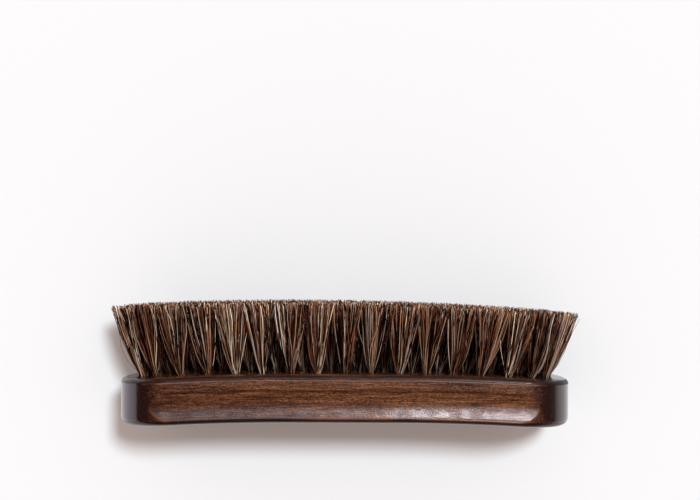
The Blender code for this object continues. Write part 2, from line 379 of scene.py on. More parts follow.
def socket_kind(value):
    """The kind of socket that holds a value."""
    if isinstance(value, bpy.types.Object):
        return "NodeSocketObject"
    return "NodeSocketInt" if isinstance(value, int) else "NodeSocketFloat"


def new_shape_tree(name, sizes):
    """An empty tree of geometry nodes with an input for each size. Returns it and their terms."""
    tree = bpy.data.node_groups.new(name, "GeometryNodeTree")
    tree.interface.new_socket("Geometry", in_out="OUTPUT", socket_type="NodeSocketGeometry")
    tree.interface.new_socket("Geometry", in_out="INPUT", socket_type="NodeSocketGeometry")
    for size, value in sizes.items():
        tree.interface.new_socket(size, in_out="INPUT", socket_type=socket_kind(value))
    given = tree.nodes.new("NodeGroupInput")
    return tree, {socket.name: Term(tree, socket) for socket in given.outputs if socket.name}


def end_tree(tree, shape, finish):
    """Ends a tree: copies are made real and given their finish."""
    real = add(tree, "GeometryNodeRealizeInstances", {"Geometry": shape})
    dressed = add(
        tree,
        "GeometryNodeSetMaterial",
        {"Geometry": real.outputs[0], "Material": finish},
    )
    feed(tree, tree.nodes.new("NodeGroupOutput").inputs[0], dressed.outputs[0])


def store(tree, shape, name, value, kind="FLOAT", domain="POINT"):
    node = add(
        tree,
        "GeometryNodeStoreNamedAttribute",
        data_type=kind,
        domain=domain,
    )
    feed(tree, node.inputs["Geometry"], shape)
    feed(tree, node.inputs["Name"], name)
    feed(tree, named(node.inputs, "Value"), value)
    return node.outputs[0]


def store_each(tree, shape, values):
    """Stores several values by their names."""
    for name, value in values.items():
        shape = store(tree, shape, name, value)
    return shape


def recall(tree, name, kind="FLOAT"):
    node = add(tree, "GeometryNodeInputNamedAttribute", {"Name": name}, data_type=kind)
    return Term(tree, named(node.outputs, "Attribute"))


def chance(tree, low, high, seed):
    """A random number between two values for each element."""
    feeds = {"Min": low, "Max": high, "Seed": seed}
    node = add(tree, "FunctionNodeRandomValue", feeds, data_type="FLOAT")
    return Term(tree, named(node.outputs, "Value"))


def duplicate(tree, points, count):
    feeds = {"Geometry": points, "Amount": count}
    return add(tree, "GeometryNodeDuplicateElements", feeds, domain="POINT")


def spoke(angle, reach):
    """The two parts of an offset in a flat disc."""
    return angle.math("COSINE") * reach, angle.math("SINE") * reach


def keep_within(value, least, most):
    return value.math("MAXIMUM", least).math("MINIMUM", most)


def strongest(value, *others):
    """The greatest of several values."""
    for other in others:
        value = value.math("MAXIMUM", other)
    return value


def run_tree(obj, tree, sizes):
    """Runs a tree on an object and leaves its result as the object's plain mesh."""
    modifier = obj.modifiers.new(tree.name, "NODES")
    modifier.node_group = tree
    for item in tree.interface.items_tree:
        if item.name in sizes:
            modifier[item.identifier] = sizes[item.name]
    solid = obj.evaluated_get(bpy.context.evaluated_depsgraph_get())
    mesh = bpy.data.meshes.new_from_object(solid)
    obj.modifiers.clear()
    spare, obj.data = obj.data, mesh
    bpy.data.meshes.remove(spare)
    mesh.name = obj.name


# Shape rules that the wood and the hair share


def bow(x):
    """How far the block lies back at a place along its length."""
    beyond = max(abs(x) - FLAT_LENGTH / 2, 0)
    return BOW_DROP * (beyond / (HALF_LENGTH - FLAT_LENGTH / 2)) ** 2


def place(x, depth, across):
    return (x, FACE - bow(x) - depth, MIDDLE + across)


def walk_round_end(start, reach, edge, count):
    """Evenly spaced tufts on a path from a side's last tuft, round the end, to the other side's."""
    steps = [math.pi * i / WALK_STEPS for i in range(WALK_STEPS + 1)]
    path = [(start, edge)]
    path += [(STRAIGHT + reach * math.sin(a), edge * math.cos(a)) for a in steps]
    path.append((start, -edge))
    lengths = [0]
    for (x0, z0), (x1, z1) in zip(path, path[1:]):
        lengths.append(lengths[-1] + math.hypot(x1 - x0, z1 - z0))
    tufts = []
    for i in range(count):
        wanted = lengths[-1] * (i + 1) / (count + 1)
        k = max(j for j in range(len(path)) if lengths[j] <= wanted)
        share = (wanted - lengths[k]) / (lengths[k + 1] - lengths[k])
        (x0, z0), (x1, z1) = path[k], path[k + 1]
        tufts.append((x0 + (x1 - x0) * share, z0 + (z1 - z0) * share))
    return tufts


def tuft_rows():
    """The tufts of each packed row of bristle, by the row's name."""
    pitch = STRAIGHT * LAST_ROW_SHARE / ROWS_EACH_WAY
    last = pitch * ROWS_EACH_WAY
    outer_reach = LAST_TUFT - STRAIGHT
    end = walk_round_end(last, outer_reach, TUFT_EDGE, OUTER_END_TUFTS)
    inner_reach = outer_reach * INNER_END_SHARE
    end += walk_round_end(last - pitch / 2, inner_reach, TUFT_EDGE / 2, INNER_END_TUFTS)
    rows = {"bristle_end_left": [(-x, z) for x, z in end], "bristle_end_right": end}
    for i in range(4 * ROWS_EACH_WAY + 1):
        x = pitch / 2 * (i - 2 * ROWS_EACH_WAY)
        across = (-TUFT_EDGE, 0, TUFT_EDGE) if i % 2 == 0 else (-TUFT_EDGE / 2, TUFT_EDGE / 2)
        rows[f"bristle_row_{i + 1:02d}"] = [(x, z) for z in across]
    return rows


def all_tufts(rows):
    return [tuft for row in rows.values() for tuft in row]


def new_object(name, mesh):
    obj = bpy.data.objects.new(name, mesh)
    bpy.context.scene.collection.objects.link(obj)
    return obj


def tuft_points(name, tufts):
    """A mesh of one point for each tuft, which holds its lean and how far its tips spread."""
    mesh = bpy.data.meshes.new(name)
    mesh.from_pydata([place(x, 0, z) for x, z in tufts], [], [])
    lean = [END_LEAN * x / LAST_TUFT + TIP_SHIFT for x, z in tufts]
    along = [min(FAN_RADIUS, TIP_REACH - abs(x + shift)) for (x, z), shift in zip(tufts, lean)]
    across = [min(FAN_RADIUS, HALF_WIDTH - TIP_MARGIN - abs(z)) for x, z in tufts]
    ends = [max(abs(x) - STRAIGHT, 0) / (LAST_TUFT - STRAIGHT) for x, z in tufts]
    rings = [math.hypot(end, z / TUFT_EDGE) for end, (x, z) in zip(ends, tufts)]
    inner = [float(ring < INNER_RING) for ring in rings]
    labels = ("lean", "fan_along", "fan_across", "inner")
    for label, values in zip(labels, (lean, along, across, inner)):
        mesh.attributes.new(label, "FLOAT", "POINT").data.foreach_set("value", values)
    return new_object(name, mesh)


# Wooden block


def block_corners():
    """Round the outline: the straight part's place, then the end's share along and across."""
    steps = [math.pi / 2 * (i + 1 / 2) / END_COLUMNS for i in range(END_COLUMNS)]
    corners = [(STRAIGHT, math.cos(angle), math.sin(angle)) for angle in steps]
    columns = round(STRAIGHT / SIDE_COLUMN)
    corners += [(STRAIGHT * (1 - i / columns), 0, 1) for i in range(columns + 1)]
    corners += [(-x, -along, across) for x, along, across in reversed(corners[:-1])]
    return corners + [(x, along, -across) for x, along, across in reversed(corners)]


def block_sections():
    """From the face round to the back: inset and depth at the sides, then at the tips of the ends."""
    sections = []
    for i in range(FILLET_RINGS + 1):
        angle = math.pi / 2 * i / FILLET_RINGS
        inset = FACE_EDGE_WIDTH * (1 - math.sin(angle))
        depth = FACE_EDGE_DEPTH * (1 - math.cos(angle))
        sections.append((inset, depth, inset, depth))
    side_foot = THICKNESS - BACK_EDGE_HEIGHT
    end_foot = THICKNESS - END_EDGE_HEIGHT
    for i in range(1, WALL_RINGS):
        share = i / WALL_RINGS
        side_depth = FACE_EDGE_DEPTH + (side_foot - FACE_EDGE_DEPTH) * share
        end_depth = FACE_EDGE_DEPTH + (end_foot - FACE_EDGE_DEPTH) * share
        sections.append((0, side_depth, 0, end_depth))
    for i in range(FILLET_RINGS + 1):
        angle = math.pi / 2 * i / FILLET_RINGS
        inwards, down = 1 - math.cos(angle), math.sin(angle)
        sections.append(
            (
                BACK_EDGE_WIDTH * inwards,
                side_foot + BACK_EDGE_HEIGHT * down,
                END_EDGE_WIDTH * inwards,
                end_foot + END_EDGE_HEIGHT * down,
            )
        )
    return sections


def block_mesh():
    """Rings of the outline from the face round to the back, with strips across both."""
    bm = bmesh.new()
    depth_layer = bm.verts.layers.float.new("depth")
    corners = block_corners()
    rings = []
    for side_inset, side_depth, end_inset, end_depth in block_sections():
        ring = []
        for x, along, across in corners:
            inset = side_inset + (end_inset - side_inset) * abs(along)
            depth = side_depth + (end_depth - side_depth) * abs(along)
            x += (END_REACH - inset) * along
            vertex = bm.verts.new(place(x, depth, (HALF_WIDTH - inset) * across))
            vertex[depth_layer] = depth
            ring.append(vertex)
        rings.append(ring)
    count = len(corners)
    for upper, lower in zip(rings, rings[1:]):
        for i in range(count):
            j = (i + 1) % count
            bm.faces.new((upper[i], upper[j], lower[j], lower[i]))
    for ring in (rings[0], rings[-1]):
        for i in range(count // 2 - 1):
            bm.faces.new((ring[i], ring[i + 1], ring[count - 2 - i], ring[count - 1 - i]))
    bmesh.ops.recalc_face_normals(bm, faces=bm.faces)
    mesh = bpy.data.meshes.new("handle_block_wood")
    bm.to_mesh(mesh)
    bm.free()
    return mesh


def groove_tree(finish, sizes):
    """Presses a round groove into both long sides and marks how near its edges each point lies."""
    tree, given = new_shape_tree("finger_grooves", sizes)
    chord, deep, soften = given["Groove chord"], given["Groove depth"], given["Edge blend"]
    half, rounding = chord / 2, given["Groove round"]
    slope = deep / ((half * half + rounding * rounding).math("SQRT") - rounding)
    x, y, z = split(tree, tree.nodes.new("GeometryNodeInputPosition").outputs[0])
    across = z - given["Middle"]
    away = recall(tree, "depth") - given["Groove top"] - chord / 2
    rise = (away * away + rounding * rounding).math("SQRT") - rounding
    floor = given["Half width"] - deep + rise * slope
    before = across.math("ABSOLUTE")
    after = before.math("SMOOTH_MIN", floor, soften)
    moved = join(tree, x, y, given["Middle"] + across.math("SIGN") * after)
    edge = (1 - (before - floor).math("ABSOLUTE") / (soften * 2)).math("MAXIMUM", 0)
    shape = store(tree, given["Geometry"], "groove_edge", edge)
    shape = store(tree, shape, "in_groove", (before - floor).math("GREATER_THAN", 0))
    pressed = add(tree, "GeometryNodeSetPosition", {"Geometry": shape, "Position": moved})
    end_tree(tree, pressed.outputs[0], finish)
    return tree


def hole_tree(finish, sizes):
    """Drills a blind hole at each tuft."""
    tree, given = new_shape_tree("tuft_holes", sizes)
    places = add(tree, "GeometryNodeObjectInfo", {"Object": given["Tufts"]})
    points = add(tree, "GeometryNodeMeshToPoints", {"Mesh": named(places.outputs, "Geometry")})
    drill = add(
        tree,
        "GeometryNodeMeshCone",
        {
            "Vertices": DRILL_SIDES,
            "Radius Top": given["Hole radius"],
            "Radius Bottom": given["Hole radius"],
            "Depth": given["Hole depth"] * 2,
        },
    )
    # The drill is twice as long as the hole, and half of it stands above the face.
    drills = add(
        tree,
        "GeometryNodeInstanceOnPoints",
        {
            "Points": points.outputs[0],
            "Instance": drill.outputs["Mesh"],
            "Rotation": (math.pi / 2, 0, 0),
        },
    )
    centred = add(
        tree,
        "GeometryNodeTranslateInstances",
        {
            "Instances": drills.outputs[0],
            "Translation": join(tree, 0, given["Hole depth"], 0),
            "Local Space": False,
        },
    )
    real = add(tree, "GeometryNodeRealizeInstances", {"Geometry": centred.outputs[0]})
    cut = add(tree, "GeometryNodeMeshBoolean", operation="DIFFERENCE", solver="EXACT")
    feed(tree, cut.inputs["Mesh 1"], given["Geometry"])
    feed(tree, cut.inputs["Mesh 2"], real.outputs[0])
    end_tree(tree, cut.outputs[0], finish)
    return tree


def keep_only(mesh, *names):
    """Deletes the attributes that only the making of a mesh needed."""
    kept = {"position", ".corner_vert", ".corner_edge", ".edge_verts", "material_index"}
    kept |= {"sharp_edge", "sharp_face", *names}
    for attribute in [a.name for a in mesh.attributes if a.name not in kept]:
        mesh.attributes.remove(mesh.attributes[attribute])


def make_block(finish, tufts):
    block = new_object("lacquered_block", block_mesh())
    sizes = {
        "Middle": MIDDLE,
        "Half width": HALF_WIDTH,
        "Groove top": GROOVE_TOP,
        "Groove chord": GROOVE_CHORD,
        "Groove depth": GROOVE_DEPTH,
        "Groove round": GROOVE_ROUND,
        "Edge blend": GROOVE_EDGE_BLEND,
    }
    run_tree(block, groove_tree(finish, sizes), sizes)
    sizes = {"Tufts": tufts, "Hole radius": HOLE_RADIUS, "Hole depth": HOLE_DEPTH}
    run_tree(block, hole_tree(finish, sizes), sizes)
    keep_only(block.data, "groove_edge", "in_groove", "depth")
    block.data.shade_smooth()
    block.data.set_sharp_from_angle(angle=SHARP_ANGLE)
    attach(block, "root")
    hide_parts("handle_block")
    return block


# Anchors


def anchor_tree(finish, sizes):
    """Sets a wire staple on the bottom of each tuft's hole, with its legs driven into the wood."""
    tree, given = new_shape_tree("tuft_anchors", sizes)
    span, leg, wire = given["Span"], given["Leg"], given["Wire"]
    bottom = given["Hole depth"] * -1
    bars = (
        (0, bottom, join(tree, span, wire, wire)),
        ((span - wire) / 2, bottom - leg / 2, join(tree, wire, leg, wire)),
        ((wire - span) / 2, bottom - leg / 2, join(tree, wire, leg, wire)),
    )
    staple = tree.nodes.new("GeometryNodeJoinGeometry")
    for x, y, size in bars:
        bar = add(tree, "GeometryNodeMeshCube", {"Size": size}).outputs["Mesh"]
        move = {"Geometry": bar, "Translation": join(tree, x, y, 0)}
        moved = add(tree, "GeometryNodeTransform", move)
        tree.links.new(moved.outputs[0], staple.inputs[0])
    points = add(tree, "GeometryNodeMeshToPoints", {"Mesh": given["Geometry"]})
    staples = add(
        tree,
        "GeometryNodeInstanceOnPoints",
        {
            "Points": points.outputs[0],
            "Instance": staple.outputs[0],
            "Rotation": join(tree, 0, given["Turn"], 0),
        },
    )
    end_tree(tree, staples.outputs[0], finish)
    return tree


def make_anchors(finish, rows):
    anchors = tuft_points("tuft_anchors", all_tufts(rows))
    sizes = {
        "Hole depth": HOLE_DEPTH,
        "Span": ANCHOR_SPAN,
        "Leg": ANCHOR_LEG,
        "Wire": ANCHOR_WIRE,
        "Turn": ANCHOR_TURN,
    }
    run_tree(anchors, anchor_tree(finish, sizes), sizes)
    keep_only(anchors.data)
    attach(anchors, "root")


# Horsehair


def grow_locks(tree, given):
    """Locks lie on a sunflower spiral, so that they fill their tuft evenly."""
    seed, count = given["Seed"], given["Locks in a tuft"]
    tufts = add(tree, "GeometryNodeMeshToPoints", {"Mesh": given["Geometry"]}).outputs[0]
    tufts = store(tree, tufts, "turn", chance(tree, 0, 2 * math.pi, seed))
    tufts = store(tree, tufts, "tuft_shade", chance(tree, -TUFT_SHADE, TUFT_SHADE, seed + 1))
    spread = duplicate(tree, tufts, count)
    number = Term(tree, spread.outputs["Duplicate Index"])
    stray = chance(tree, -LOCK_TURN, LOCK_TURN, seed + 2)
    angle = number * GOLDEN_ANGLE + recall(tree, "turn") + stray
    reach = ((number + chance(tree, 0.1, 0.9, seed + 3)) / count).math("SQRT")
    along, across = spoke(angle, reach)
    values = {
        "lock_along": along,
        "lock_across": across,
        "lock_shade": chance(tree, 0, 1, seed + 4),
        "lock_spread": chance(tree, LEAST_SPREAD, 1, seed + 5),
        "drift_along": chance(tree, -1, 1, seed + 6) * given["Lock drift"],
        "drift_across": chance(tree, -1, 1, seed + 16) * given["Lock drift"],
    }
    return store_each(tree, spread.outputs["Geometry"], values)


def root_and_tip(tree, given, loose):
    """Where each hair starts and ends. Most keep to their lock, and a few stray far from it."""
    seed = given["Seed"]
    lock_along, lock_across = recall(tree, "lock_along"), recall(tree, "lock_across")
    turn = chance(tree, 0, 2 * math.pi, seed + 7)
    along, across = spoke(turn, chance(tree, 0, 1, seed + 8).math("SQRT"))
    x, y, z = split(tree, tree.nodes.new("GeometryNodeInputPosition").outputs[0])
    lock_root = given["Lock root radius"]
    clump = given["Clump radius"] - lock_root
    root_x = x + lock_along * clump + along * lock_root
    root_z = z + lock_across * clump + across * lock_root
    lock_tip = given["Lock tip radius"]
    spread_share = recall(tree, "lock_spread")
    fan_along = recall(tree, "fan_along")
    fan_across = recall(tree, "fan_across")
    out_along = lock_along * (fan_along - lock_tip) + along * lock_tip * spread_share
    out_across = lock_across * (fan_across - lock_tip) + across * lock_tip * spread_share
    loose_along, loose_across = spoke(chance(tree, 0, 2 * math.pi, seed + 18), loose)
    stray_along = recall(tree, "drift_along") + loose_along * given["Loose drift"]
    stray_across = recall(tree, "drift_across") + loose_across * given["Loose drift"]
    share = (x + recall(tree, "lean") + out_along + stray_along) / given["Tip reach"]
    share = keep_within(share, -1, 1)
    side_share = (z - given["Middle"] + out_across + stray_across) / given["Side reach"]
    side_share = keep_within(side_share, -1, 1)
    tip_x = share * given["Tip reach"]
    tip_z = side_share * given["Side reach"] + given["Middle"]
    trimmed = given["Hair length"] - given["End trim"] * share * share - given["Trim fall"] / 2 * share
    scatter = chance(tree, -1, 1, seed + 9) * given["Trim scatter"]
    tip_y = given["Face"] + trimmed + scatter
    return join(tree, root_x, y, root_z), join(tree, tip_x, tip_y, tip_z)


def grow_hairs(tree, given, locks):
    """Hairs lie at random in their lock, and differ in bend, length, thickness and shade."""
    seed = given["Seed"]
    hairs = duplicate(tree, locks, given["Hairs in a lock"]).outputs["Geometry"]
    loose = chance(tree, 0, 1, seed + 17) ** LOOSE_RARITY
    root, tip = root_and_tip(tree, given, loose)
    hairs = store(tree, hairs, "root", root, "FLOAT_VECTOR")
    hairs = store(tree, hairs, "tip", tip, "FLOAT_VECTOR")
    bend = given["Bend"] * (1 + loose * LOOSE_BEND)
    short = chance(tree, 0, 1, seed + 13) ** SHORT_RARITY
    broad = chance(tree, 0, 1, seed + 14) ** BROAD_RARITY
    shade = recall(tree, "lock_shade") * LOCK_SHADE + chance(tree, 0, 1, seed + 15) * HAIR_SHADE
    values = {
        "bend_along": chance(tree, -1, 1, seed + 10) * bend,
        "bend_across": chance(tree, -1, 1, seed + 11) * bend,
        "wave": chance(tree, -1, 1, seed + 12) * bend / 2,
        "grown": 1 - short * SHORTEST,
        "width": (THINNEST + broad * BROADEST) * given["Hair thickness"],
        "shade": shade - SHADE_DROP + recall(tree, "tuft_shade"),
    }
    return store_each(tree, hairs, values)


def unit_hair(tree, given):
    """A three-sided tube of unit size, which is then drawn out along each hair's own line."""
    tube = add(
        tree,
        "GeometryNodeMeshCylinder",
        {"Vertices": 3, "Side Segments": given["Rings"], "Radius": 1.0, "Depth": 1.0},
        fill_type="NGON",
    )
    section_x, section_y, height = split(tree, tree.nodes.new("GeometryNodeInputPosition").outputs[0])
    rounded = add(
        tree,
        "GeometryNodeSetShadeSmooth",
        {"Geometry": tube.outputs["Mesh"], "Selection": tube.outputs["Side"]},
    )
    strip = split(tree, tube.outputs["UV Map"])[0]
    unit = store(tree, rounded.outputs[0], "strip", strip, domain="CORNER")
    values = {"section_x": section_x, "section_y": section_y, "height": height + 0.5}
    return store_each(tree, unit, values)


def draw_out(tree, given, hairs):
    """The first ring stands in the hole, the second at the face, and the rest run to the tip."""
    rings = given["Rings"]
    step = recall(tree, "height") * rings
    rise = ((step - 1) / (rings - 1)).math("MAXIMUM", 0) * recall(tree, "grown")
    sunk = (1 - step).math("MAXIMUM", 0) * given["Hole depth"]
    start_x, start_y, start_z = split(tree, recall(tree, "root", "FLOAT_VECTOR"))
    end_x, end_y, end_z = split(tree, recall(tree, "tip", "FLOAT_VECTOR"))
    outwards = rise ** EARLY_FAN
    arch = (rise * math.pi).math("SINE")
    sway = (rise * 2 * math.pi).math("SINE") * recall(tree, "wave")
    width = recall(tree, "width") * (1 - rise * TAPER)
    at_x = start_x + (end_x - start_x) * outwards + arch * recall(tree, "bend_along") + sway
    at_y = start_y + (end_y - start_y) * rise - sunk
    at_z = start_z + (end_z - start_z) * outwards + arch * recall(tree, "bend_across") - sway
    # No hair passes through the ground that the brush lies on.
    at_z = at_z.math("MAXIMUM", given["Middle"] - given["Side reach"] + width)
    moved = join(
        tree,
        at_x + recall(tree, "section_x") * width,
        at_y,
        at_z - recall(tree, "section_y") * width,
    )
    feeds = {"Geometry": hairs, "Position": moved}
    return add(tree, "GeometryNodeSetPosition", feeds).outputs[0]


def map_hairs(tree, hairs):
    """The map for the finish: each hair has its own strip, and runs up it from root to tip.

    The inner tufts have the right half of the map, where the finish paints their roots darker.
    """
    lane = recall(tree, "shade") * LANE_SHARE + recall(tree, "strip") * STRIP_SHARE + MAP_MARGIN
    lane = keep_within(lane, MAP_MARGIN / 2, 1 - MAP_MARGIN / 2)
    lane = (lane + recall(tree, "inner")) / 2
    lift = recall(tree, "height") * (1 - 2 * MAP_MARGIN) + MAP_MARGIN
    return store(tree, hairs, "OFBake", join(tree, lane, lift, 0), "FLOAT2", "CORNER")


def hair_tree(finish, sizes):
    """Grows tufts of hair on points: each tuft in locks, and each lock in single tapered hairs."""
    tree, given = new_shape_tree("horsehair_tufts", sizes)
    hairs = grow_hairs(tree, given, grow_locks(tree, given))
    feeds = {"Points": hairs, "Instance": unit_hair(tree, given)}
    copies = add(tree, "GeometryNodeInstanceOnPoints", feeds)
    real = add(tree, "GeometryNodeRealizeInstances", {"Geometry": copies.outputs[0]})
    grown = draw_out(tree, given, real.outputs[0])
    end_tree(tree, map_hairs(tree, grown), finish)
    return tree


def make_hair(finish, rows):
    """One piece of hair for each packed row of bristle, which it stands for."""
    sizes = {
        "Locks in a tuft": LOCKS_IN_A_TUFT,
        "Hairs in a lock": HAIRS_IN_A_LOCK,
        "Rings": HAIR_RINGS,
        "Seed": 0,
        "Face": FACE,
        "Hole depth": HOLE_DEPTH,
        "Clump radius": CLUMP_RADIUS,
        "Lock root radius": LOCK_ROOT_RADIUS,
        "Lock tip radius": LOCK_TIP_RADIUS,
        "Hair thickness": HAIR_THICKNESS,
        "Hair length": HAIR_LENGTH,
        "End trim": END_TRIM,
        "Trim fall": TRIM_FALL,
        "Trim scatter": TRIM_SCATTER,
        "Tip reach": TIP_REACH,
        "Side reach": HALF_WIDTH,
        "Middle": MIDDLE,
        "Lock drift": LOCK_DRIFT,
        "Loose drift": LOOSE_DRIFT,
        "Bend": HAIR_BEND,
    }
    tree = hair_tree(finish, sizes)
    for number, (node, tufts) in enumerate(sorted(rows.items())):
        hair = tuft_points(node.replace("bristle", "horsehair"), tufts)
        run_tree(hair, tree, sizes | {"Seed": SEED_STEP * (number + 1)})
        keep_only(hair.data, "OFBake")
        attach(hair, "root")
        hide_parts(node)


# Finishes


def new_finish(name):
    """A material. Returns it, its tree and its shader."""
    finish = bpy.data.materials.new(name)
    finish.use_nodes = True
    tree = finish.node_tree
    return finish, tree, tree.nodes["Principled BSDF"]


def ramp(tree, value, stops):
    """Colours by a value between 0 and 1."""
    node = tree.nodes.new("ShaderNodeValToRGB")
    elements = node.color_ramp.elements
    while len(elements) < len(stops):
        elements.new(0.5)
    for element, (at, colour) in zip(elements, stops):
        element.position = at
        element.color = (*colour, 1)
    feed(tree, node.inputs[0], value)
    return node.outputs[0]


def blend(tree, share, first, second, mode="MIX"):
    feeds = {"Factor": share, "A": first, "B": second}
    node = add(tree, "ShaderNodeMix", feeds, data_type="RGBA", blend_type=mode)
    return named(node.outputs, "Result")


def between(tree, value, none, full):
    """0 as far as the one value, 1 from the other on, and a soft step between the two."""
    feeds = {"Value": value, "From Min": none, "From Max": full}
    node = add(tree, "ShaderNodeMapRange", feeds, interpolation_type="SMOOTHSTEP")
    return Term(tree, named(node.outputs, "Result"))


def noise(tree, spot, detail, roughness=0.5, distortion=0):
    """A noise pattern with about one spot to the unit."""
    feeds = {"Vector": spot, "Scale": 1.0, "Detail": detail}
    feeds |= {"Roughness": roughness, "Distortion": distortion}
    return Term(tree, add(tree, "ShaderNodeTexNoise", feeds).outputs[0])


def grain(tree, per_mm, detail=2, roughness=0.5, distortion=0):
    """A noise pattern with so many spots to the millimetre along, deep and across."""
    coordinates = tree.nodes.new("ShaderNodeTexCoord").outputs["Object"]
    feeds = {"Vector": coordinates, "Scale": tuple(spots / MM for spots in per_mm)}
    scaled = add(tree, "ShaderNodeMapping", feeds)
    return noise(tree, scaled.outputs[0], detail, roughness, distortion)


def mark(tree, name):
    """A value that the making of the mesh left on each point."""
    return Term(tree, add(tree, "ShaderNodeAttribute", attribute_name=name).outputs["Fac"])


def bump(tree, height, distance, below=None):
    """Relief so high, which may lie over another."""
    feeds = {"Height": height, "Distance": distance, "Strength": 1.0}
    node = add(tree, "ShaderNodeBump", feeds)
    if below is not None:
        feed(tree, node.inputs["Normal"], below)
    return node.outputs[0]


def wood_patterns(tree):
    """The places and patterns on the wood that its colour and its lacquer go by."""
    x = split(tree, tree.nodes.new("ShaderNodeTexCoord").outputs["Object"])[0]
    far = x.math("ABSOLUTE") / MM
    depth = mark(tree, "depth") / MM
    figure = grain(tree, (0.05, 0.8, 0.8), detail=4, roughness=0.6, distortion=0.3)
    pores = grain(tree, (0.6, 3.0, 3.0), detail=1)
    peel = grain(tree, (0.35, 0.35, 0.35), detail=2)
    end_grain = between(tree, far + figure * END_GRAIN_WAVER, *END_GRAIN_START)
    back_edge = between(tree, depth, *BACK_EDGE_START) * between(tree, depth, *BACK_EDGE_END)
    return SimpleNamespace(
        x=x,
        far=far,
        right=between(tree, x / MM, *RIGHT_START),
        depth=depth,
        edge=mark(tree, "groove_edge"),
        groove=mark(tree, "in_groove"),
        clouds=grain(tree, (0.02, 0.09, 0.09), detail=3),
        figure=figure,
        fibre=grain(tree, (0.09, 2.0, 2.0), detail=3, roughness=0.65),
        flecks=grain(tree, (1.4, 2.4, 2.4), detail=1),
        pore=between(tree, pores, *PORE_STEP),
        peel=peel,
        waver=peel - 0.5,
        end_grain=end_grain * between(tree, depth, *END_GRAIN_FOOT),
        rounded=between(tree, depth, *ROUNDING_START),
        back_edge=back_edge,
    )


def stain_and_painted_shade_share(tree, wood):
    """Stain soaks deeper into the end grain, the face's rounded edge is darker, and painted shade
    darkens the back edge and the grooves' upper walls under their top edges.
    """
    # The face's rounded edge is darker, in an uneven band.
    uneven = wood.depth + wood.peel * FACE_EDGE_WAVER
    face_edge = between(tree, uneven, *FACE_EDGE_DARKER_END) * wood.rounded
    # Painted shade under the grooves' top edges.
    crease = wood.groove * between(tree, wood.depth, *CREASE_END)
    crease = crease * (CREASE_PAINTED_SHADE + wood.figure * CREASE_PAINTED_SHADE_BY_FIGURE)
    return strongest(
        wood.end_grain * END_GRAIN_STAIN,
        face_edge * FACE_EDGE_DARKER,
        wood.back_edge * BACK_EDGE_PAINTED_SHADE,
        crease,
    )


def worn_share(tree, wood):
    """Stain is worn off along the grooves' edges, and less along the one near the bristle face."""
    patches = strongest(
        between(tree, wood.clouds, *WORN_PATCHES),
        between(tree, wood.far, *WORN_ENDS),
    )
    below = between(tree, wood.depth, *WORN_START) * (1 - WORN_NEAR_THE_FACE)
    worn = wood.edge * wood.edge * patches * (below + WORN_NEAR_THE_FACE)
    return worn * (WORN_SHARE - wood.end_grain * WORN_LESS_ON_END_GRAIN)


def wood_colour(tree, wood):
    """Hardwood stained dark brown, with painted shade on the back edge and under the grooves' top
    edges, and a painted highlight on the brink below the bristle face.
    """
    # Paler in the upper half of the grooves, darker near the foot.
    groove_and_foot_tone = wood.groove * between(tree, wood.depth, *UPPER_GROOVE_PALER_END) * UPPER_GROOVE_PALER
    groove_and_foot_tone = groove_and_foot_tone - between(tree, wood.depth, *FOOT_START) * FOOT_DARKER
    patterns = (wood.clouds, wood.figure, wood.fibre, wood.flecks)
    tone = sum(pattern * share for pattern, share in zip(patterns, TONE_SHARES))
    tone = tone + wood.x * (PALER_TO_THE_RIGHT + wood.groove * GROOVE_PALER_TO_THE_RIGHT) + groove_and_foot_tone
    colour = ramp(tree, tone, WOOD_SHADES)
    colour = blend(tree, wood.pore * PORE_SHARE, colour, PORE_COLOUR)
    colour = blend(tree, stain_and_painted_shade_share(tree, wood), colour, STAIN_AND_PAINTED_SHADE_COLOUR)
    # A painted highlight: the colour is paler on the brink between the face's rounded edge and the
    # side.
    brink = wood.depth + wood.waver * BRINK_WAVER
    rim = between(tree, brink, *BRINK_START) * between(tree, brink, *BRINK_END)
    rim = rim * (BRINK_HIGHLIGHT_SHARE + wood.right * BRINK_HIGHLIGHT_SHARE_TO_THE_RIGHT)
    colour = blend(tree, rim * (1 - wood.end_grain), colour, BRINK_HIGHLIGHT_COLOUR)
    return blend(tree, worn_share(tree, wood), colour, WORN_COLOUR)


def dullness(tree, wood, lower, marks):
    """How much of the gloss is missing, on the edges and on the walls of the grooves."""
    uneven = wood.depth + wood.waver * UPPER_WALL_WAVER
    upper = wood.groove * between(tree, uneven, *UPPER_WALL_END)
    line = BRINK_DULL + between(tree, wood.x / MM, *BRINK_DULL_RISE) * BRINK_DULL_TO_THE_RIGHT
    line = line + wood.waver
    tips = between(tree, wood.far, *TIP_START)
    rounding = wood.rounded * between(tree, wood.depth, *ROUNDING_DULL_END)
    tooled = lower * between(tree, marks, *TOOL_MARKS)
    return strongest(
        rounding * (ROUNDING_DULL - tips * TIPS_LESS_DULL),
        wood.back_edge * BACK_EDGE_DULL,
        wood.rounded * between(tree, wood.depth, *BRINK_DULL_END) * line,
        between(tree, wood.depth, *FACE_DULL_END) * FACE_DULL,
        upper * UPPER_WALL_DULL,
        tooled * (TOOL_MARKS_DULL + wood.right * TOOL_MARKS_DULL_TO_THE_RIGHT),
    )


